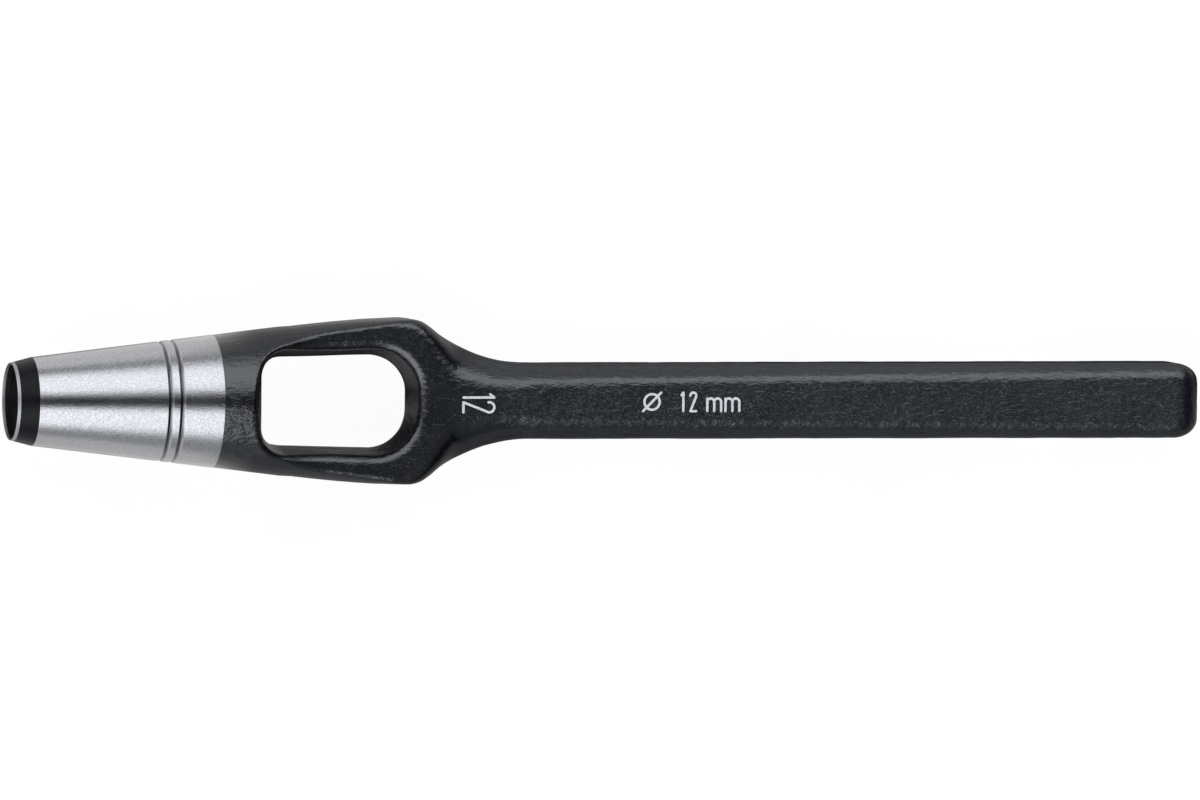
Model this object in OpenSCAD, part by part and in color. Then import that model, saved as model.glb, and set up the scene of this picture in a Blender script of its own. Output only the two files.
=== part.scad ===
// Drive hole punch with a yoke: an eight-sided shank is struck with a mallet, a ground steel nose
// cuts a round hole, and the slugs climb the bore and fall out of the yoke's window.
// The origin is the centre of the mouth, +X runs along the tool to the struck face,
// +Y runs across the yoke and +Z is up off the yoke's flat side. Units are millimetres.

/* [Cutting nose] */
// Diameter of the hole that the punch cuts
bore_d = 12; // [10:0.5:12.5]
// Flat width of the cutting edge, from the bore to the outer bevel
edge_w = 0.12; // [0.08:0.02:0.3]
// Length of the hardened ring that carries the cutting bevel
ring_l = 3.4; // [2.5:0.1:5]
// Wall of the nose where the ring ends
ring_wall = 1.0; // [0.8:0.05:1.4]
// Distance from the mouth to the end of the ground nose
nose_l = 32.5; // [31:0.5:34]
// Rise of the nose's radius for each millimetre of length
nose_taper = 0.12; // [0.11:0.005:0.13]
// Length of straight bore behind the mouth
land_l = 8; // [6:0.5:12]
// Extra radius of the slug passage behind the straight bore
relief = 0.75; // [0.4:0.05:0.8]
// Distance from the mouth to the first turned groove
groove_x = 24; // [20:0.5:26]
// Distance between the two turned grooves
groove_pitch = 1.85; // [1.5:0.05:2.5]

/* [Yoke] */
// Half width of the yoke at its shoulder
yoke_half_w = 13.1; // [12.9:0.1:14]
// Where the yoke's shoulder starts to round over
shoulder_x = 63.4; // [63:0.1:64]
// Radius of the yoke's shoulder
shoulder_r = 7; // [6:0.5:8]
// Radius of the hollow neck between the yoke and the shank
neck_r = 25; // [23:1:27]
// Radius of the hollow that runs from the round boss down to the flats
boss_hollow_r = 20; // [18:1:22]
// Where that hollow meets the flats
boss_hollow_x = 50.5; // [50:0.1:51]

/* [Window] */
// Front end of the window at the parting plane
window_x0 = 40.6; // [40.4:0.1:41.5]
// Back end of the window at the parting plane
window_x1 = 63.7; // [62:0.1:64]
// Half width of the window's back half at the parting plane
window_half_w = 7.25; // [6.5:0.05:7.5]
// How much narrower each side is at the front corners
window_pinch = 0.35; // [0:0.05:0.6]
// Draft of the window's walls, sideways for each millimetre of height
window_draft = 0.22; // [0.1:0.02:0.25]

/* [Shank] */
// Width of the eight-sided shank across its flats
shank_af = 12; // [11:0.5:12]
// Half width of the shank's four flats where they leave the neck
flat_neck_w = 3.3; // [2.9:0.1:3.6]
// Half width of those flats at the struck end, where the facets between them are narrowest
flat_end_w = 4.45; // [4:0.05:4.7]
// Length from the mouth to the struck face
overall_l = 192; // [135:1:200]
// How far the rounding of the struck end comes in from each flat
end_round = 3.1; // [2:0.1:3.3]
// How far that rounding runs along the shank
end_run = 4.2; // [3:0.1:5]

/* [Marks] */
// Distance from the mouth to the foot of the size mark, which is read from across the tool
mark_x = 71.9; // [71:0.1:74]
// Height of the size mark's digits, along the tool
mark_h = 5; // [4:0.1:5.5]
// Distance from the mouth to the start of the shank mark, which is read along the tool
label_x = 101; // [90:1:105]
// Height of the shank mark's digits, across the tool
label_h = 2.95; // [2.4:0.05:3.2]
// Width of an engraved stroke
stroke_w = 0.38; // [0.3:0.02:0.45]
// Depth of the enamel in the steel
mark_depth = 0.15; // [0.1:0.05:0.3]

/* [Hidden] */
$fn = 96;

// Nose and bore
bore_r = bore_d / 2;
mouth_r = bore_r + edge_w;
ring_r = bore_r + ring_wall;
nose_r = cone_r(nose_l);
passage_r = bore_r + relief;
relief_run = 2;
groove_half_w = 0.3;
groove_depth = 0.22;

// Spigot of the nose in the forging's boss
spigot_wall = 1.75;
spigot_r = passage_r + spigot_wall;
spigot_x = nose_l + 4.6;

// Yoke, neck and shank
flat_z = shank_af / 2;
neck_x = shoulder_x + sqrt(pow(shoulder_r + neck_r, 2) - pow(neck_r + flat_z + shoulder_r - yoke_half_w, 2));
join_angle = acos((neck_x - shoulder_x) / (shoulder_r + neck_r));
// The yoke's side leaves the cone of the nose at side_x, and a long arc carries it to the shoulder.
side_x = 45;
side_rise = yoke_half_w - cone_r(side_x);
side_arc_r = (pow(shoulder_x - side_x, 2) + pow(side_rise, 2)) / (2 * side_rise);
side_angle = asin((shoulder_x - side_x) / side_arc_r);
boss_run = 14.5;
facet_start_x = 66;
facet_full_x = 71;
facet_rise = 0.1;
facet_end_round = 1.3 * end_round;
// The arcs of the plan start this far past the place where they touch, so that it never doubles back.
arc_gap = 6;
clear = 30;

// Window
front_corner_r = 3;
back_corner_r = 6;
window_reach = 12;
passage_end = window_x0 + 5;
sliver = 0.01;

// Figures, as shares of their height, the width of a stroke's round end as a share of the stroke's,
// and the pitch of the marks
figure_w = 0.32;
flag_w = 0.1;
flag_y = 0.86;
x_height = 0.68;
ring_share = 0.42;
bow_share = 0.28;
cap_share = 0.9;
size_pitch = 0.75;
label_gap = 3.6;
label_pitch = 1.15;

// Radius of the nose's cone, which also bounds the yoke's corners.
function cone_r(x) = ring_r + nose_taper * (x - ring_l);

// Half width of the hollow neck at x.
function neck_half_w(x) = neck_r + flat_z - sqrt(pow(neck_r, 2) - pow(max(0, neck_x - x), 2));

// Half width of the flat faces at x, along the neck and the shank. It is least on the neck.
function facet_half(x) = x < neck_x
    ? flat_neck_w - facet_rise * (neck_x - x)
    : flat_neck_w + (flat_end_w - flat_neck_w) * (x - neck_x) / (overall_l - neck_x);

// Points on an arc, from angle a0 to a1.
function arc(cx, cy, r, a0, a1, steps) =
    [for (i = [0:steps]) let (a = a0 + (a1 - a0) * i / steps) [cx + r * cos(a), cy + r * sin(a)]];

// Points on the rounding of the struck end, which takes depth off a half outline of height half.
function end_arc(half, depth) = let (steps = 6)
    [for (i = [0:steps]) let (a = 90 * i / steps)
        [overall_l - end_run + end_run * sin(a), half - depth + depth * cos(a)]];

// A half outline above the X axis, mirrored into a closed one.
module both_sides(half) {
    polygon(concat(half, [for (i = [len(half) - 1:-1:0]) [half[i][0], -half[i][1]]]));
}

// A solid of revolution about the X axis, from [x, radius] points.
module turned(points) {
    rotate([0, 90, 0]) rotate_extrude() polygon([for (p = points) [p[1], p[0]]]);
}

// Everything inside the half outline [x, half height], seen along the direction that angle turns Z to.
module across(half, angle) {
    rotate([angle, 0, 0]) linear_extrude(height = 4 * clear, center = true) both_sides(half);
}

// The yoke's plan: a long arc, the round shoulder, the hollow neck and the shank.
module plan() {
    across(concat(
        [[nose_l, clear], [side_x, clear]],
        arc(shoulder_x, yoke_half_w - side_arc_r, side_arc_r, 90 + side_angle, 90, 6),
        arc(shoulder_x, yoke_half_w - shoulder_r, shoulder_r, 90 - arc_gap, join_angle, 5),
        arc(neck_x, neck_r + flat_z, neck_r, 180 + arc_gap / 2 + join_angle, 270, 12),
        end_arc(flat_z, end_round)
    ), 0);
}

// The two flat sides, which rise in a hollow to the round boss.
module flats() {
    start_angle = 270 - asin(boss_run / boss_hollow_r);
    across(concat(
        [[nose_l, clear]],
        arc(boss_hollow_x, flat_z + boss_hollow_r, boss_hollow_r, start_angle, 270, 12),
        end_arc(flat_z, end_round)
    ), 90);
}

// The slanted facets between the flats. They narrow along the shank and fade out on the shoulder.
module facets(side) {
    slant = sqrt(2);
    facet_steps = 8;
    across(concat(
        [[nose_l, clear], [facet_start_x - 1, clear], [facet_start_x, (yoke_half_w + flat_z) / slant]],
        [for (i = [0:facet_steps]) let (x = facet_full_x + (neck_x - facet_full_x) * i / facet_steps)
            [x, (neck_half_w(x) + facet_half(x)) / slant]],
        end_arc((flat_z + facet_half(overall_l - end_run)) / slant, facet_end_round)
    ), side * 45);
}

// The cone that bounds the boss and the yoke's corners.
module turned_limits() {
    yoke_r = cone_r(facet_full_x);
    turned([[nose_l, 0], [nose_l, nose_r], [facet_full_x, yoke_r], [overall_l + 1, yoke_r], [overall_l + 1, 0]]);
}

// Plan of the window at the parting plane, or widened by grow on every side.
module window_plan(grow) {
    front_y = window_half_w - window_pinch - front_corner_r;
    offset(delta = grow) hull() for (side = [-1, 1]) {
        translate([window_x0 + front_corner_r, side * front_y]) circle(r = front_corner_r, $fn = 32);
        translate([window_x1 - back_corner_r, side * (window_half_w - back_corner_r)])
            circle(r = back_corner_r, $fn = 48);
    }
}

// The window widens from the parting plane to both flats, because it is forged from both sides.
module window_cut() {
    for (side = [0, 1]) mirror([0, 0, side]) hull() {
        linear_extrude(sliver) window_plan(0);
        translate([0, 0, window_reach]) linear_extrude(sliver) window_plan(window_draft * window_reach);
    }
}

// The steel forging: boss, yoke, neck and shank in one piece.
module forged_body() color("#2b2c31") difference() {
    intersection() {
        turned_limits();
        plan();
        flats();
        facets(1);
        facets(-1);
    }
    window_cut();
    turned([[nose_l - 1, 0], [nose_l - 1, spigot_r], [spigot_x, spigot_r], [spigot_x, 0]]);
    turned([[nose_l, 0], [nose_l, passage_r], [passage_end, passage_r], [passage_end, 0]]);
    size_figures();
    shank_figures();
}

// A V groove around the nose, as [x, radius] points.
function groove(x) = [
    [x - groove_half_w, cone_r(x - groove_half_w)],
    [x, cone_r(x) - groove_depth],
    [x + groove_half_w, cone_r(x + groove_half_w)]
];

// The bright turned nose: a tapered tube whose spigot is seated in the forging's boss.
module cutting_tube() color("#c9c9cc") turned(concat(
    [[ring_l, bore_r], [ring_l, ring_r]],
    groove(groove_x),
    groove(groove_x + groove_pitch),
    [[nose_l, nose_r], [nose_l, spigot_r], [spigot_x, spigot_r], [spigot_x, passage_r]],
    [[land_l + relief_run, passage_r], [land_l, bore_r]]
));

// The dark hardened ring that carries the outer bevel and the cutting edge.
module cutting_edge() color("#1c1c20")
    turned([[0, bore_r], [0, mouth_r], [ring_l, ring_r], [ring_l, bore_r]]);

// A straight stroke with round ends.
module stroke(a, b) {
    run = b - a;
    translate(a) rotate(atan2(run[1], run[0])) translate([0, -stroke_w / 2]) square([norm(run), stroke_w]);
    for (end = [a, b]) translate(end) circle(d = cap_share * stroke_w, $fn = 24);
}

// A round stroke of radius r.
module ring(r) difference() {
    circle(r = r + stroke_w / 2);
    circle(r = r - stroke_w / 2);
}

// The figure one, h high, with its foot at the origin.
module figure_one(h) {
    stroke([0, 0], [0, h]);
    stroke([0, h], [-flag_w * h, flag_y * h]);
}

// The figure two, h high, with the left end of its foot at the origin.
module figure_two(h) {
    w = figure_w * h;
    bow = w / 2;
    top = h - bow;
    tail = -35;
    tip = 200;
    stroke([0, 0], [w, 0]);
    stroke([0, 0], [bow + bow * cos(tail), top + bow * sin(tail)]);
    translate([bow, top]) difference() {
        ring(bow);
        polygon([[0, 0], 4 * bow * [cos(tail), sin(tail)], [0, -6 * bow], 4 * bow * [cos(tip), sin(tip)]]);
    }
}

// The letter m, for millimetres, with its first stem's foot at the origin.
module letter_m(h) {
    bow = bow_share * h;
    stroke([0, 0], [0, h]);
    for (i = [1, 2]) {
        stroke([2 * bow * i, 0], [2 * bow * i, h - bow]);
        translate([bow * (2 * i - 1), h - bow]) difference() {
            ring(bow);
            translate([-2 * bow, -2 * bow]) square([4 * bow, 2 * bow]);
        }
    }
}

// The diameter sign: a circle with a slanted stroke through it.
module diameter_sign(h) translate([h / 2, h / 2]) {
    ring(ring_share * h);
    stroke([-h / 2, -h / 2], [h / 2, h / 2]);
}

// The hole size in millimetres beside the window.
module size_figures() translate([mark_x, 0, flat_z - mark_depth]) rotate(-90) linear_extrude(mark_depth) {
    translate([-size_pitch, 0]) figure_one(mark_h);
    figure_two(mark_h);
}

// The hole size along the shank.
module shank_figures() translate([label_x, -label_h / 2, flat_z - mark_depth]) linear_extrude(mark_depth) {
    two_x = label_h + label_gap + label_pitch;
    unit_x = two_x + figure_w * label_h + label_gap / 2;
    diameter_sign(label_h);
    translate([label_h + label_gap, 0]) figure_one(label_h);
    translate([two_x, 0]) figure_two(label_h);
    translate([unit_x, 0]) letter_m(x_height * label_h);
    translate([unit_x + label_h, 0]) letter_m(x_height * label_h);
}

// Pale enamel in the engraved figures.
module size_mark() color("#d8d8d8") size_figures();
module shank_mark() color("#d8d8d8") shank_figures();

forged_body();
cutting_tube();
cutting_edge();
size_mark();
shank_mark();
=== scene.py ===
"""Looks of the drive hole punch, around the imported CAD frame.

The forging's skin is one signed-distance shape, meshed in numpy: the same cone, plan, flats, facets and
window as the CAD forging, with the rounded edges and the uneven surface of a drop forging. The nose and
the cutting ring are closed profiles turned about the X axis. Lengths are in millimetres until a mesh, a
camera or a material needs metres.
"""

import math

import bmesh
import bpy
import numpy as np
from mathutils import Matrix, Vector


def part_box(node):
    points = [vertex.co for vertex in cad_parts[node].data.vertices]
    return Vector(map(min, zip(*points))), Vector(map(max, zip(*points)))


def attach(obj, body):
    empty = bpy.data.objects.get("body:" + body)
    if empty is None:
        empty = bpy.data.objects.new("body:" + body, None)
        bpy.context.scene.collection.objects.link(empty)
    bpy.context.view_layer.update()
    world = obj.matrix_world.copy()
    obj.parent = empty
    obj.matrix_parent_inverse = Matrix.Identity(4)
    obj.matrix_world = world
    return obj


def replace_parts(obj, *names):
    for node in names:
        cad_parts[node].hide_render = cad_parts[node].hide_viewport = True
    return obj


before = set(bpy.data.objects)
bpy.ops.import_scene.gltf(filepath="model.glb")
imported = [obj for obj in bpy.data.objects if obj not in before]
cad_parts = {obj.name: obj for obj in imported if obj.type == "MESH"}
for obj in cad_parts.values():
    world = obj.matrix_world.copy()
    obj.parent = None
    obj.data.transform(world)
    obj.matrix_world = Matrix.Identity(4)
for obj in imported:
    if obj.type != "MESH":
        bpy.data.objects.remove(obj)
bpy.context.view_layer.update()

MM = 0.001

# ---------------------------------------------------------------- sizes from the frame, in millimetres
body_lo, body_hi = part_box("forged_body")
_, tube_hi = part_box("cutting_tube")
_, ring_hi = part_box("cutting_edge")
_, mark_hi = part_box("size_mark")

OVERALL_L = body_hi.x / MM
NOSE_L = body_lo.x / MM
RING_L = ring_hi.x / MM
RING_R = ring_hi.z / MM
YOKE_HALF_W = body_hi.y / MM
FLAT = mark_hi.z / MM
SPIGOT_X = tube_hi.x / MM
NOSE_TAPER = 0.12

# The design's own dimensions, as in the CAD source
EDGE_W = 0.12
BORE_R = 6.0
LAND_L = 8.0
RELIEF_RUN = 2.0
PASSAGE_R = BORE_R + 0.75
SPIGOT_R = PASSAGE_R + 1.75
GROOVES_X = (24.0, 25.85)
SHOULDER_X, SHOULDER_R, NECK_R = 63.4, 7.0, 25.0
SIDE_X = 45.0
BOSS_HOLLOW_R, BOSS_HOLLOW_X, BOSS_START_X = 20.0, 50.5, 36.0
WINDOW_X0, WINDOW_X1 = 40.6, 63.7
WINDOW_FRONT_W, WINDOW_BACK_W = 6.9, 7.25
WINDOW_FRONT_R, WINDOW_BACK_R = 3.0, 6.0
WINDOW_DRAFT = 0.22
PASSAGE_END = WINDOW_X0 + 5
FACET_START_X, FACET_FULL_X = 66.0, 71.0
FLAT_NECK_W, FLAT_END_W, FACET_RISE = 3.3, 4.45, 0.1
END_ROUND, END_RUN = 3.1, 4.2
ARCS_R = SHOULDER_R + NECK_R
ARCS_ACROSS = ARCS_R + FLAT - YOKE_HALF_W
NECK_X = SHOULDER_X + math.sqrt(ARCS_R**2 - ARCS_ACROSS**2)
JOIN_X = SHOULDER_X + SHOULDER_R * (NECK_X - SHOULDER_X) / ARCS_R

# Slopes of the plan and of the flats past their outlines, where they only stay clear of the boss
SIDE_CLEAR_SLOPE, BOSS_CLEAR_SLOPE = 0.25, 1.05

# Where the facets have come in on the shoulder: in a curve here, and straight in the CAD
FACET_FADE_X = FACET_FULL_X + 1

# Rounding of the forging's edges, and where along the tool it changes
EDGE_SOFT = 0.5
SHOULDER_SOFT, SHOULDER_SOFT_X, SHOULDER_SOFT_RUN = 2.0, 66.5, 6.0
FACET_SOFT, FACET_EVEN_X = 0.8, 118.0
NECK_EXTRA_SOFT, NECK_SOFT_POWER = 1.5, 6
RIM_FRONT_SOFT, RIM_BACK_SOFT = 1.1, 1.35
RIM_CHANGE_X, RIM_CHANGE_RUN = 42.0, 13.0
SIDE_SOFT = 0.5
PARTING_SOFT = 0.2
PASSAGE_SOFT = 0.3

# The uneven surface: how far the skin lies under the CAD faces, how far it stays from them, its deepest
# pit, and the height and length of each wave
SKIN_UNDER, SKIN_CLEAR, PIT_LIMIT = 0.035, 0.005, 0.05
SWELL, SWELL_LENGTH = 0.014, 12
PITS, PITS_LENGTH = 0.009, 3.2
GRAIN, GRAIN_LENGTH = 0.006, 1.4
BOSS_ROUGH_SHARE, ROUGH_START_X, ROUGH_RUN = 0.35, 46, 14

# The mesh of the skin
VOXEL = 0.38
GRID_HALF_H, GRID_MARGIN = 12.4, 1
RELAX_SHARE, EVENING_ROUNDS = 0.6, 3
LARGEST_STEP, FLATTEST_SLOPE = 0.3, 0.05

# The turned pieces. With their rounded corners the grooves are a little wider and deeper than in the CAD
TURNS = 240
SHARP_ANGLE = math.radians(28)
GROOVE_DEPTH, GROOVE_HALF_W = 0.3, 0.42


def cone_r(x):
    """Radius of the nose's cone, which also bounds the boss and the yoke's corners."""
    return RING_R + NOSE_TAPER * (x - RING_L)


SIDE_RISE = YOKE_HALF_W - cone_r(SIDE_X)
SIDE_ARC_R = ((SHOULDER_X - SIDE_X) ** 2 + SIDE_RISE**2) / (2 * SIDE_RISE)


# ---------------------------------------------------------------- the forging as a signed distance
def smooth_max(a, b, soft):
    """The larger of two distances, with the edge between them rounded over about soft."""
    blend = np.maximum(soft - np.abs(a - b), 0) / soft
    return np.maximum(a, b) + blend * blend * soft / 4


def arc_drop(radius, run):
    """How far a circle has dropped, run away from its highest point."""
    return radius - np.sqrt(np.maximum(radius * radius - run * run, 0))


def plan_half(x):
    """Half width of the yoke, neck and shank in plan."""
    before = cone_r(x) + SIDE_CLEAR_SLOPE * (SIDE_X - x)
    side = YOKE_HALF_W - arc_drop(SIDE_ARC_R, SHOULDER_X - x)
    shoulder = YOKE_HALF_W - arc_drop(SHOULDER_R, np.clip(x - SHOULDER_X, 0, SHOULDER_R))
    neck = FLAT + arc_drop(NECK_R, np.clip(NECK_X - x, 0, NECK_R))
    return np.select([x < SIDE_X, x < SHOULDER_X, x < JOIN_X], [before, side, shoulder], neck)


def flat_half(x):
    """Half thickness between the flats, which rise in a hollow to the boss."""
    hollow = FLAT + arc_drop(BOSS_HOLLOW_R, np.clip(BOSS_HOLLOW_X - x, 0, BOSS_HOLLOW_X - BOSS_START_X))
    return hollow + np.maximum(BOSS_START_X - x, 0) * BOSS_CLEAR_SLOPE


def facet_half(x):
    """Half distance between the slanted facets, which narrow along the shank and end on the shoulder."""
    neck = np.minimum(FLAT + arc_drop(NECK_R, np.clip(NECK_X - x, 0, NECK_R)), YOKE_HALF_W)
    before = FLAT_NECK_W - FACET_RISE * np.maximum(NECK_X - x, 0)
    share = np.maximum(x - NECK_X, 0) / (OVERALL_L - NECK_X)
    full = (neck + before + (FLAT_END_W - FLAT_NECK_W) * share) / math.sqrt(2)
    gone = (YOKE_HALF_W + FLAT) / math.sqrt(2)
    fade = np.clip((FACET_FADE_X - x) / (FACET_FADE_X - FACET_START_X), 0, 1.5)
    return full + (gone - full) * fade * fade


def across(height, half, x):
    """Distance to the outline half(x), corrected for its slope."""
    reach = 0.05
    slope = (half(x + reach) - half(x - reach)) / (2 * reach)
    return (height - half(x)) / np.sqrt(1 + slope * slope)


def rounded_end(sides, x):
    """The shank's sides, rounded over into the struck face."""
    inward = sides + END_ROUND
    along = (x - (OVERALL_L - END_RUN)) * END_ROUND / END_RUN
    outside = np.hypot(np.maximum(inward, 0), np.maximum(along, 0))
    inside = np.minimum(np.maximum(inward, along), 0)
    return outside + inside - END_ROUND


def window_distance(x, y, z):
    """Distance to the window's walls. Its rounded outline widens from the parting plane to both flats."""
    y = np.abs(y)
    front_x, back_x = WINDOW_X0 + WINDOW_FRONT_R, WINDOW_X1 - WINDOW_BACK_R
    front_y, back_y = WINDOW_FRONT_W - WINDOW_FRONT_R, WINDOW_BACK_W - WINDOW_BACK_R
    share = np.clip((x - front_x) / (back_x - front_x), 0, 1)
    sides = y - (WINDOW_FRONT_W + (WINDOW_BACK_W - WINDOW_FRONT_W) * share)
    straight = np.maximum(np.maximum(WINDOW_X0 - x, x - WINDOW_X1), sides)
    front = np.hypot(x - front_x, y - front_y) - WINDOW_FRONT_R
    back = np.hypot(x - back_x, y - back_y) - WINDOW_BACK_R
    outline = np.where((x < front_x) & (y > front_y), front, straight)
    outline = np.where((x > back_x) & (y > back_y), back, outline)
    height = np.hypot(z, PARTING_SOFT)
    return (outline - WINDOW_DRAFT * height) / math.sqrt(1 + WINDOW_DRAFT**2)


def forging(x, y, z):
    """Signed distance to the smooth forging, negative inside the steel."""
    radius = np.hypot(y, z)
    slant = (np.abs(y) + np.abs(z)) / math.sqrt(2)
    cone = (radius - cone_r(x)) / math.sqrt(1 + NOSE_TAPER**2)
    sides = smooth_max(cone, across(np.abs(y), plan_half, x), SIDE_SOFT)
    neck_share = np.clip((FACET_EVEN_X - x) / (FACET_EVEN_X - FACET_FULL_X), 0, 1)
    facet_soft = FACET_SOFT * (1 + NECK_EXTRA_SOFT * neck_share**NECK_SOFT_POWER)
    flats = smooth_max(across(np.abs(z), flat_half, x), across(slant, facet_half, x), facet_soft)
    shoulder_share = np.clip(1 - np.abs(x - SHOULDER_SOFT_X) / SHOULDER_SOFT_RUN, 0, 1)
    edge_soft = EDGE_SOFT + SHOULDER_SOFT * shoulder_share
    solid = rounded_end(smooth_max(sides, flats, edge_soft), x)
    rim_share = np.clip((x - RIM_CHANGE_X) / RIM_CHANGE_RUN, 0, 1)
    rim_soft = RIM_FRONT_SOFT + (RIM_BACK_SOFT - RIM_FRONT_SOFT) * rim_share**2 * (3 - 2 * rim_share)
    solid = smooth_max(solid, -window_distance(x, y, z), rim_soft)
    hole = radius - np.where(x < SPIGOT_X, SPIGOT_R, PASSAGE_R)
    return smooth_max(solid, -np.maximum(hole, x - PASSAGE_END), PASSAGE_SOFT)


# ---------------------------------------------------------------- the uneven surface of the forging
def waves(points, length, seed, count=28):
    """Smooth noise of unit strength and one wavelength: many plane waves in random directions."""
    rng = np.random.default_rng(seed)
    ways = rng.normal(size=(count, 3))
    ways /= np.linalg.norm(ways, axis=1)[:, None]
    ways *= 2 * math.pi / length * rng.uniform(0.7, 1.4, count)[:, None]
    phases = rng.uniform(0, 2 * math.pi, count)
    return np.cos(points @ ways.T + phases).sum(1) * math.sqrt(2 / count)


def unevenness(points):
    """Height of the scale pits and hammer marks over the smooth forging, longer along the tool."""
    drawn = points * (0.5, 1, 1)
    behind_boss = np.clip((points[:, 0] - ROUGH_START_X) / ROUGH_RUN, 0, 1)
    forged = BOSS_ROUGH_SHARE + (1 - BOSS_ROUGH_SHARE) * behind_boss
    fine = PITS * waves(drawn, PITS_LENGTH, 2) + GRAIN * waves(drawn, GRAIN_LENGTH, 3)
    swell = SWELL * waves(points, SWELL_LENGTH, 1)
    return np.clip(swell + forged * fine, -PIT_LIMIT, SKIN_UNDER - SKIN_CLEAR)


def skin(points):
    """Signed distance to the forging's real surface."""
    return forging(*points.T) + SKIN_UNDER - unevenness(points)


def slope_of(field, points, reach=0.04):
    """Gradient of a distance at each point."""
    steps = np.eye(3) * reach
    return np.stack([field(points + s) - field(points - s) for s in steps], 1) / (2 * reach)


# ---------------------------------------------------------------- meshing
def surface_nets(values):
    """One vertex in each cell that the surface passes, in grid units, and the quads between them."""
    inside = values < 0
    corners = sum(
        inside[i : i - 1 or None, j : j - 1 or None, k : k - 1 or None].astype(np.int8)
        for i in (0, 1) for j in (0, 1) for k in (0, 1)
    )
    crossed = (corners > 0) & (corners < 8)
    index = np.full(crossed.shape, -1)
    index[crossed] = np.arange(crossed.sum())
    quads = []
    for axis in range(3):
        first = np.take(inside, range(inside.shape[axis] - 1), axis)
        second = np.take(inside, range(1, inside.shape[axis]), axis)
        edges = np.argwhere(first != second)
        u, v = (axis + 1) % 3, (axis + 2) % 3
        in_range = (edges[:, u] > 0) & (edges[:, v] > 0)
        in_range &= (edges[:, u] < inside.shape[u] - 1) & (edges[:, v] < inside.shape[v] - 1)
        edges = edges[in_range]
        step_u, step_v = np.eye(3, dtype=int)[u], np.eye(3, dtype=int)[v]
        around = [edges - step_u - step_v, edges - step_v, edges, edges - step_u]
        quad = np.stack([index[tuple(cells.T)] for cells in around], 1)
        leaving = first[tuple(edges.T)]
        quad[~leaving] = quad[~leaving][:, ::-1]
        quads.append(quad)
    return np.argwhere(crossed), np.concatenate(quads)


def settle(points, front, rounds):
    """Moves points onto the skin. Points at the front plane stay in it."""
    for _ in range(rounds):
        slope = slope_of(skin, points)
        slope[front, 0] = 0
        steepness = np.maximum((slope * slope).sum(1), FLATTEST_SLOPE)
        step = skin(points)[:, None] * slope / steepness[:, None]
        points = points - np.clip(step, -LARGEST_STEP, LARGEST_STEP)
    return points


def relax(points, quads, front):
    """Evens out the spacing of the points along the surface."""
    total, count = np.zeros_like(points), np.zeros(len(points))
    for a in range(4):
        near = points[quads[:, (a + 1) % 4]] + points[quads[:, a - 1]]
        for axis in range(3):
            total[:, axis] += np.bincount(quads[:, a], near[:, axis], len(points))
        count += 2 * np.bincount(quads[:, a], minlength=len(points))
    moved = points + RELAX_SHARE * (total / count[:, None] - points)
    moved[front, 0] = points[front, 0]
    return moved


def new_object(name, points, faces):
    """A mesh object in metres from points in millimetres, on the root body."""
    mesh = bpy.data.meshes.new(name)
    mesh.from_pydata((np.asarray(points) * MM).tolist(), [], [list(map(int, f)) for f in faces])
    mesh.update()
    obj = bpy.data.objects.new(name, mesh)
    bpy.context.scene.collection.objects.link(obj)
    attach(obj, "root")
    return obj


def forging_skin():
    """The forging with its edges rounded and its surface uneven, closed at the front by a flat ring."""
    low = np.array([NOSE_L, -YOKE_HALF_W - GRID_MARGIN, -GRID_HALF_H])
    high = np.array([OVERALL_L + GRID_MARGIN, YOKE_HALF_W + GRID_MARGIN, GRID_HALF_H])
    axes = [np.arange(a, b, VOXEL) for a, b in zip(low, high)]
    x, y, z = np.meshgrid(*axes, indexing="ij")
    cells, quads = surface_nets(forging(x, y, z) + SKIN_UNDER)
    points = low + (cells + 0.5) * VOXEL
    front = cells[:, 0] == 0
    points[front, 0] = NOSE_L
    points = settle(points, front, 4)
    for _ in range(EVENING_ROUNDS):
        points = settle(relax(points, quads, front), front, 2)
    obj = new_object("forging_skin", points, quads)
    mesh = obj.data
    normals = slope_of(skin, points)
    normals /= np.linalg.norm(normals, axis=1)[:, None]

    bm = bmesh.new()
    bm.from_mesh(mesh)
    rim = [e for e in bm.edges if e.is_boundary]
    closing = bmesh.ops.bridge_loops(bm, edges=rim)["faces"]
    for edge in rim:
        edge.smooth = False
    bmesh.ops.recalc_face_normals(bm, faces=bm.faces)
    count = len(bm.faces) - len(closing)
    bm.to_mesh(mesh)
    bm.free()
    mesh.shade_smooth()
    loops = np.zeros(len(mesh.loops), int)
    mesh.loops.foreach_get("vertex_index", loops)
    corner_normals = normals[loops]
    for polygon in list(mesh.polygons)[count:]:
        for i in polygon.loop_indices:
            corner_normals[i] = (-1, 0, 0)
    mesh.normals_split_custom_set(corner_normals.tolist())
    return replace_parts(obj, "forged_body")


def guarded(profile, gap=0.12):
    """Adds a point near both ends of each long straight, so that smooth shading bends only at corners."""
    points = []
    for i, start in enumerate(profile):
        end = profile[(i + 1) % len(profile)]
        length = math.dist(start, end)
        points.append(start)
        if length > 4 * gap:
            step = (np.array(end) - start) * gap / length
            points += [(start + step).tolist(), (end - step).tolist()]
    return points


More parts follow.
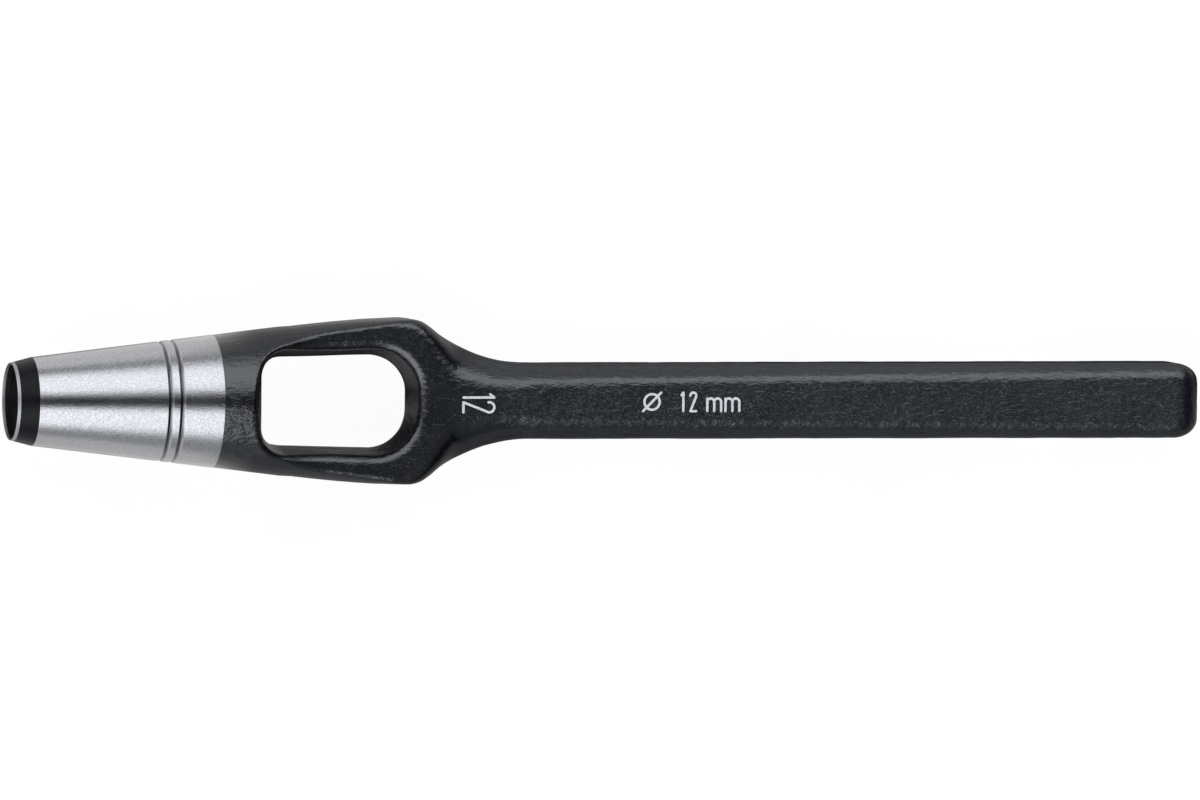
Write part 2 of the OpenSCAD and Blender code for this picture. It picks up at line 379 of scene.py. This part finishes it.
def turned(name, profile):
    """A closed solid of revolution about the X axis, from a closed [x, radius] profile."""
    angles = np.arange(TURNS) * 2 * math.pi / TURNS
    profile = np.array(guarded(profile))
    x = np.repeat(profile[:, 0], TURNS)
    radius = np.repeat(profile[:, 1], TURNS)
    around = np.tile(angles, len(profile))
    points = np.stack([x, radius * np.cos(around), radius * np.sin(around)], 1)
    faces = []
    for i in range(len(profile)):
        j = (i + 1) % len(profile)
        for a in range(TURNS):
            b = (a + 1) % TURNS
            faces.append((i * TURNS + a, i * TURNS + b, j * TURNS + b, j * TURNS + a))
    obj = new_object(name, points, faces)
    obj.data.shade_smooth()
    obj.data.set_sharp_from_angle(angle=SHARP_ANGLE)
    return obj


def rounded(corner, before, after, radius, steps=4):
    """Points that round a corner of a profile."""
    corner, before, after = (np.array(p, float) for p in (corner, before, after))
    to_before = (before - corner) / np.linalg.norm(before - corner)
    to_after = (after - corner) / np.linalg.norm(after - corner)
    half = math.acos(float(np.clip(to_before @ to_after, -1, 1))) / 2
    reach = radius / math.tan(half)
    start, end = corner + to_before * reach, corner + to_after * reach
    middle = to_before + to_after
    centre = corner + middle / np.linalg.norm(middle) * radius / math.sin(half)
    points = []
    for i in range(steps + 1):
        ray = (start - centre) * (1 - i / steps) + (end - centre) * (i / steps)
        points.append((centre + ray / np.linalg.norm(ray) * radius).tolist())
    return points


def rounded_profile(corners):
    """A closed profile from [x, radius, rounding] corners."""
    points = []
    for i, (x, r, soft) in enumerate(corners):
        before, after = corners[i - 1][:2], corners[(i + 1) % len(corners)][:2]
        points += rounded((x, r), before, after, soft) if soft else [[x, r]]
    return points


def radius_of(polygon):
    """How far the middle of a face lies from the X axis, in millimetres."""
    return math.hypot(polygon.center.y, polygon.center.z) / MM


def cutting_nose():
    """The ground nose with its two turned grooves, its passage and its spigot."""
    corners = [(RING_L, BORE_R, 0), (RING_L, cone_r(RING_L), 0.04)]
    for x in GROOVES_X:
        start, end = x - GROOVE_HALF_W, x + GROOVE_HALF_W
        corners.append((start, cone_r(start), 0.06))
        corners.append((x, cone_r(x) - GROOVE_DEPTH, 0.08))
        corners.append((end, cone_r(end), 0.06))
    corners += [
        (NOSE_L, cone_r(NOSE_L), 0.05),
        (NOSE_L, SPIGOT_R, 0),
        (SPIGOT_X, SPIGOT_R, 0),
        (SPIGOT_X, PASSAGE_R, 0),
        (LAND_L + RELIEF_RUN, PASSAGE_R, 0.3),
        (LAND_L, BORE_R, 0.3),
    ]
    obj = turned("cutting_nose", rounded_profile(corners))
    paint(obj, ground_steel(), shaded_bore_steel())
    for polygon in obj.data.polygons:
        in_passage = radius_of(polygon) < PASSAGE_R + 0.1
        polygon.material_index = 1 if in_passage else 0
    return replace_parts(obj, "cutting_tube")


def cutting_ring():
    """The dark hardened ring, with its rim honed bright."""
    honed_out, honed_in = 0.5, 0.45
    mouth_r = BORE_R + EDGE_W
    slope = (RING_R - mouth_r) / RING_L
    corners = [
        (0, BORE_R, 0.03),
        (0, mouth_r, 0.03),
        (honed_out, mouth_r + slope * honed_out, 0),
        (RING_L, RING_R, 0.04),
        (RING_L, BORE_R, 0),
        (honed_in, BORE_R, 0),
    ]
    obj = turned("cutting_ring", rounded_profile(corners))
    paint(obj, hardened_steel(), honed_steel(), shaded_bore_steel())
    for polygon in obj.data.polygons:
        in_bore = radius_of(polygon) < BORE_R + 0.02
        if polygon.center.x / MM < (honed_in if in_bore else honed_out):
            polygon.material_index = 1
        elif in_bore:
            polygon.material_index = 2
    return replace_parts(obj, "cutting_edge")


# ---------------------------------------------------------------- materials
def paint(obj, *materials):
    """Gives an object these materials and no others."""
    obj.data.materials.clear()
    for material in materials:
        obj.data.materials.append(material)


class Nodes:
    """Builds one node tree."""

    def __init__(self, tree):
        self.tree = tree

    def node(self, kind, inputs=None, **settings):
        """A new node, with its settings and its inputs."""
        made = self.tree.nodes.new(kind)
        for key, value in settings.items():
            setattr(made, key, value)
        for key, value in (inputs or {}).items():
            self.feed(made.inputs[key], value)
        return made

    def feed(self, socket, value):
        """Links another node's output to a socket, or sets the socket's own value."""
        if isinstance(value, bpy.types.NodeSocket):
            self.tree.links.new(value, socket)
        else:
            socket.default_value = value

    def parts(self, vector):
        """The X, Y and Z of a vector."""
        return self.node("ShaderNodeSeparateXYZ", {0: vector}).outputs

    def math(self, operation, *values):
        """The result of a Math node."""
        return self.node("ShaderNodeMath", dict(enumerate(values)), operation=operation).outputs[0]

    def times(self, first, second):
        """The product of two values."""
        return self.math("MULTIPLY", first, second)

    def plus(self, first, second):
        """The sum of two values."""
        return self.math("ADD", first, second)

    def ramp(self, value, low, high, to_low=0.0, to_high=1.0):
        """value from low..high to to_low..to_high, clamped."""
        inputs = {0: value, 1: low, 2: high, 3: to_low, 4: to_high}
        return self.node("ShaderNodeMapRange", inputs).outputs[0]

    def mix(self, share, first, second):
        """A colour between first, at share 0, and second, at share 1."""
        mixed = self.node("ShaderNodeMix", data_type="RGBA")
        self.feed(mixed.inputs[0], share)
        for socket, colour in ((mixed.inputs[6], first), (mixed.inputs[7], second)):
            self.feed(socket, (*colour, 1) if isinstance(colour, tuple) else colour)
        return mixed.outputs[2]


class Shader(Nodes):
    """A material with one Principled shader."""

    def __init__(self, name, **values):
        self.material = bpy.data.materials.new(name)
        self.material.use_nodes = True
        super().__init__(self.material.node_tree)
        self.surface = self.tree.nodes["Principled BSDF"]
        self.place = self.node("ShaderNodeTexCoord").outputs["Object"]
        for socket, value in values.items():
            self.surface.inputs[socket.replace("_", " ")].default_value = value

    def stretch(self, x, y, z):
        """Object coordinates scaled along each axis."""
        scaled = self.node("ShaderNodeMapping", {"Vector": self.place, "Scale": (x, y, z)})
        return scaled.outputs["Vector"]

    def noise(self, size, detail=2.0, rough=0.5, vector=None):
        """Noise with features of about size millimetres."""
        inputs = {"Vector": vector or self.place, "Scale": 1 / (size * MM)}
        inputs |= {"Detail": detail, "Roughness": rough}
        return self.node("ShaderNodeTexNoise", inputs).outputs["Fac"]

    def bump(self, height, depth, normal=None):
        """Bump from a height of 0..1, with depth in millimetres."""
        inputs = {"Height": height, "Distance": depth * MM, "Strength": 1.0}
        if normal:
            inputs["Normal"] = normal
        return self.node("ShaderNodeBump", inputs).outputs["Normal"]

    def set(self, socket, value):
        """Feeds one socket of the Principled shader."""
        self.feed(self.surface.inputs[socket], value)


def lacquered_forging():
    """Thin blue-black lacquer over shot-blasted steel: pebbled, with dull and shiny patches.

    On the boss the pebbles are strong in a band on its -Y side and weak elsewhere. They are middling on
    the yoke and full on the shank, and half as deep towards the parting plane as on the flats. The
    lacquer's colour holds painted shade: it is kept deep black at the boss and yoke, where the window's
    edges lie in shade, and grows dustier along the shank.
    """
    black, dust = (0.0005, 0.0006, 0.0015), (0.0105, 0.0109, 0.0145)
    s = Shader("black_lacquer", IOR=1.68)
    parts = s.parts(s.place)
    above_band = s.ramp(parts["Y"], -2.5 * MM, 0, 2.4, 0.6)
    below_band = s.ramp(parts["Y"], -7 * MM, -4.5 * MM, 0.3, 2.4)
    boss = s.math("MINIMUM", above_band, below_band)
    yoke = s.ramp(parts["X"], 42 * MM, 50 * MM, boss, 0.68)
    pebbled = s.ramp(parts["X"], 70 * MM, 84 * MM, yoke, 1.0)
    on_flats = s.ramp(s.math("ABSOLUTE", parts["Z"]), 4 * MM, 5.6 * MM, 0.5, 1.0)
    pebbles = s.times(s.noise(0.65, 3, 0.65, s.stretch(0.45, 1, 1)), s.times(pebbled, on_flats))
    grit = s.noise(0.22, 2, 0.5)
    patches = s.noise(7, 3, 0.6)
    # Partly painted shade: the dust is held back at the boss and yoke, so the lacquer around the window
    # stays near black
    dust_and_shade_ramp = s.ramp(parts["X"], 60 * MM, 130 * MM, 0.3, 1.0)
    dust_and_shade = s.times(s.ramp(patches, 0.35, 0.65, 0.7, 1.0), dust_and_shade_ramp)
    s.set("Base Color", s.mix(dust_and_shade, black, dust))
    s.set("Roughness", s.ramp(patches, 0.3, 0.7, 0.15, 0.22))
    s.set("Normal", s.bump(grit, 0.015, s.bump(pebbles, 0.155)))
    return s.material


def ground_steel():
    """Bright steel ground round the nose: fine scratches run round it, over a sanded grain.

    Painted shade darkens what lies under the nose's cone, which is the bottom of the grooves.
    """
    dull, bright, groove_shade_grey = (0.31, 0.31, 0.315), (0.46, 0.46, 0.47), (0.14, 0.14, 0.145)
    s = Shader("ground_steel", Metallic=1.0, Anisotropic=0.4, Anisotropic_Rotation=0.25)
    parts = s.parts(s.place)
    turn = s.times(s.math("ARCTAN2", parts["Y"], parts["Z"]), 1.2 * MM)
    lathe = s.node("ShaderNodeCombineXYZ", {"X": parts["X"], "Y": turn}).outputs[0]
    scratches = s.noise(0.09, 4, 0.65, lathe)
    sand = s.noise(0.28, 4, 0.8, s.stretch(0.7, 1, 1))
    cloud = s.noise(5, 3, 0.6)
    tone = s.plus(s.times(scratches, 0.3), s.times(sand, 0.7))
    radius = s.math("SQRT", s.plus(s.math("POWER", parts["Y"], 2), s.math("POWER", parts["Z"], 2)))
    cone = s.plus(s.times(parts["X"], NOSE_TAPER), cone_r(0) * MM)
    # Painted shade: faces below the cone, the groove bottoms, are mixed towards a dark grey
    groove_shade = s.ramp(s.math("SUBTRACT", cone, radius), 0.08 * MM, 0.2 * MM)
    s.set("Base Color", s.mix(groove_shade, s.mix(s.ramp(tone, 0.35, 0.65), dull, bright), groove_shade_grey))
    s.set("Roughness", s.ramp(cloud, 0.3, 0.7, 0.18, 0.22))
    s.set("Normal", s.bump(sand, 0.022, s.bump(scratches, 0.004)))
    s.set("Tangent", s.node("ShaderNodeTangent", direction_type="RADIAL", axis="X").outputs[0])
    return s.material


def hardened_steel():
    """Near-black hardened scale on the cutting bevel, slightly oily."""
    darker, lighter = (0.002, 0.002, 0.003), (0.005, 0.005, 0.007)
    s = Shader("hardened_scale", IOR=1.22)
    mottle = s.noise(1.2, 4, 0.65)
    s.set("Base Color", s.mix(s.ramp(mottle, 0.35, 0.7), darker, lighter))
    s.set("Roughness", s.ramp(mottle, 0.3, 0.7, 0.3, 0.45))
    s.set("Normal", s.bump(s.noise(0.25, 3, 0.6), 0.012))
    return s.material


def honed_steel():
    """The rim, honed bright through the scale."""
    darker, lighter = (0.26, 0.26, 0.265), (0.4, 0.4, 0.405)
    s = Shader("honed_rim", Metallic=1.0)
    grain = s.noise(0.12, 3, 0.6)
    s.set("Base Color", s.mix(s.ramp(grain, 0.3, 0.7), darker, lighter))
    s.set("Roughness", s.ramp(grain, 0.3, 0.7, 0.45, 0.6))
    return s.material


def shaded_bore_steel():
    """Drilled steel inside the bore, its colour painted near black as shade, with faint rings from the
    drill.
    """
    darker, lighter = (0.008, 0.008, 0.009), (0.022, 0.022, 0.023)
    s = Shader("shaded_bore_steel", Metallic=0.6)
    rings = s.noise(0.35, 2, 0.5, s.stretch(1, 0.05, 0.05))
    # Painted shade: the colour stays near black, as the inside of the bore lies in shade
    s.set("Base Color", s.mix(s.ramp(rings, 0.35, 0.65), darker, lighter))
    s.set("Roughness", s.ramp(rings, 0.3, 0.7, 0.3, 0.45))
    s.set("Normal", s.bump(rings, 0.02))
    return s.material


def mark_enamel():
    """Pale etched figures, a little worn."""
    worn, pale = (0.42, 0.42, 0.43), (0.66, 0.66, 0.67)
    s = Shader("pale_figures", IOR=1.45)
    wear = s.noise(0.3, 3, 0.6)
    s.set("Base Color", s.mix(s.ramp(wear, 0.35, 0.6), worn, pale))
    s.set("Roughness", s.ramp(wear, 0.3, 0.7, 0.45, 0.65))
    s.set("Normal", s.bump(wear, 0.01))
    return s.material


def light_table():
    """The pale floor, a light table: bright to the camera, and dimmer as a light on the tool.

    As a light it is brightest beside the nose, gives more on the +Y side than on the -Y side, and gives
    nothing under the +Y half of the tool.
    """
    grey, white = (0.04, 0.04, 0.04, 1), (1, 1, 1, 1)
    s = Shader("studio_floor", Base_Color=grey, Roughness=0.8, Emission_Color=white)
    parts = s.parts(s.place)
    beside_nose = s.ramp(parts["X"], 35 * MM, 41 * MM, 0.62, 0.0)
    beside = s.plus(s.ramp(parts["Y"], -12 * MM, 12 * MM, 0.17, 0.34), beside_nose)
    under = s.ramp(parts["Y"], -1.5 * MM, 0.8 * MM, 0.26, 0.0)
    apart = s.ramp(s.math("ABSOLUTE", parts["Y"]), 9 * MM, 15 * MM)
    glow = s.plus(s.times(beside, apart), s.times(under, s.math("SUBTRACT", 1.0, apart)))
    seen = s.node("ShaderNodeLightPath").outputs["Is Camera Ray"]
    paper = s.ramp(s.noise(30, 2, 0.5), 0.3, 0.7, 0.94, 0.96)
    shown = s.times(s.math("SUBTRACT", paper, glow), seen)
    s.set("Emission Strength", s.plus(glow, shown))
    return s.material


# ---------------------------------------------------------------- camera, light and floor
def add_camera():
    """A long lens above the flat side, leaning a little to the nose and to +Y."""
    lens, sensor = 1000, 36
    frame_w = 189.85 * MM
    roll = 0.0019
    towards = Vector((-0.225, 0.042, 0.974)).normalized()
    right = (Vector((1, 0, 0)) - towards * towards.x).normalized()
    up = towards.cross(right)
    right, up = right - up * roll, up + right * roll
    centre = (right * 92.96 + up * 0.24 - towards * 21.6) * MM
    place = Matrix.Translation(centre + towards * (frame_w * lens / sensor))
    turn = Matrix((right, up, towards)).transposed().to_4x4()
    data = bpy.data.cameras.new("camera")
    data.lens, data.sensor_width = lens, sensor
    data.clip_start, data.clip_end = 0.05, 50
    camera = bpy.data.objects.new("camera", data)
    bpy.context.scene.collection.objects.link(camera)
    camera.matrix_world = place @ turn
    bpy.context.scene.camera = camera


def add_world():
    """A plain studio: two long soft boxes over the tool, with a dark gap between them for the lens.

    Angles are in degrees about the X axis, from straight up towards +Y. In directions that lean to the
    struck end the +Y box is narrower, the -Y box fades out, and a low wall of light at +Y fades in.
    """
    backdrop = (0.93, 0.93, 0.935)
    less_red, more_blue = 0.975, 1.05
    world = bpy.data.worlds.new("studio")
    bpy.context.scene.world = world
    world.use_nodes = True
    n = Nodes(world.node_tree)
    parts = n.parts(n.node("ShaderNodeTexCoord").outputs["Generated"])
    angle = n.times(n.math("ARCTAN2", parts["Y"], parts["Z"]), 180 / math.pi)
    to_end = n.ramp(parts["X"], 0.02, 0.13)

    box_edge = n.ramp(to_end, 0, 1, 74, 59)
    past_edge = n.math("SUBTRACT", angle, box_edge)
    plus_box = n.times(n.ramp(angle, 14, 25), n.ramp(past_edge, 0, 5, 2.1, 0.0))
    rising = n.ramp(angle, -72, -54, 0.72, 2.85)
    falling = n.ramp(angle, -15, -11, 1.0, 0.0)
    minus_box = n.times(n.times(rising, falling), n.ramp(to_end, 0, 1, 1.0, 0.04))
    wall = n.times(n.ramp(angle, 72, 79), n.ramp(to_end, 0, 1, 0.07, 0.95))
    dim = n.plus(wall, n.ramp(to_end, 0, 1, 0.02, 0.11))
    total = n.plus(n.plus(plus_box, minus_box), dim)
    struck_end = n.ramp(parts["X"], 0.5, 0.7, 1.0, 0.02)
    mouth_end = n.ramp(parts["X"], -0.95, -0.8, 0.3, 1.0)
    light = n.times(total, n.times(struck_end, mouth_end))

    tint = {0: n.times(light, less_red), 1: light, 2: n.times(light, more_blue)}
    colour = n.node("ShaderNodeCombineColor", tint).outputs[0]
    seen = n.node("ShaderNodeLightPath").outputs["Is Camera Ray"]
    n.feed(world.node_tree.nodes["Background"].inputs["Color"], n.mix(seen, colour, backdrop))


def resting_line(points):
    """Slope and height at x = 0 of the line under the tool: it touches the boss and the shank's end."""
    middle = OVERALL_L * MM / 2
    front, back = points[points[:, 0] < middle], points[points[:, 0] > middle]
    slope = 0.0
    for _ in range(4):
        low = front[np.argmin(front[:, 2] - slope * front[:, 0])]
        slope = float(np.min((back[:, 2] - low[2]) / (back[:, 0] - low[0])))
    return slope, float(low[2] - slope * low[0])


def add_floor(skin_object):
    """A large square floor that the tool lies on."""
    half = 3.0
    square = ((-half, -half), (half, -half), (half, half), (-half, half))
    slope, height = resting_line(np.array([v.co for v in skin_object.data.vertices]))
    corners = [(x, y, height + slope * x) for x, y in square]
    mesh = bpy.data.meshes.new("floor")
    mesh.from_pydata(corners, [], [(0, 1, 2, 3)])
    floor = bpy.data.objects.new("floor", mesh)
    bpy.context.scene.collection.objects.link(floor)
    paint(floor, light_table())


# ---------------------------------------------------------------- the scene
add_camera()
add_world()
bpy.context.scene.view_settings.view_transform = "Standard"

body = forging_skin()
paint(body, lacquered_forging())
cutting_nose()
cutting_ring()
enamel = mark_enamel()
for name in ("size_mark", "shank_mark"):
    paint(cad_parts[name], enamel)
add_floor(body)
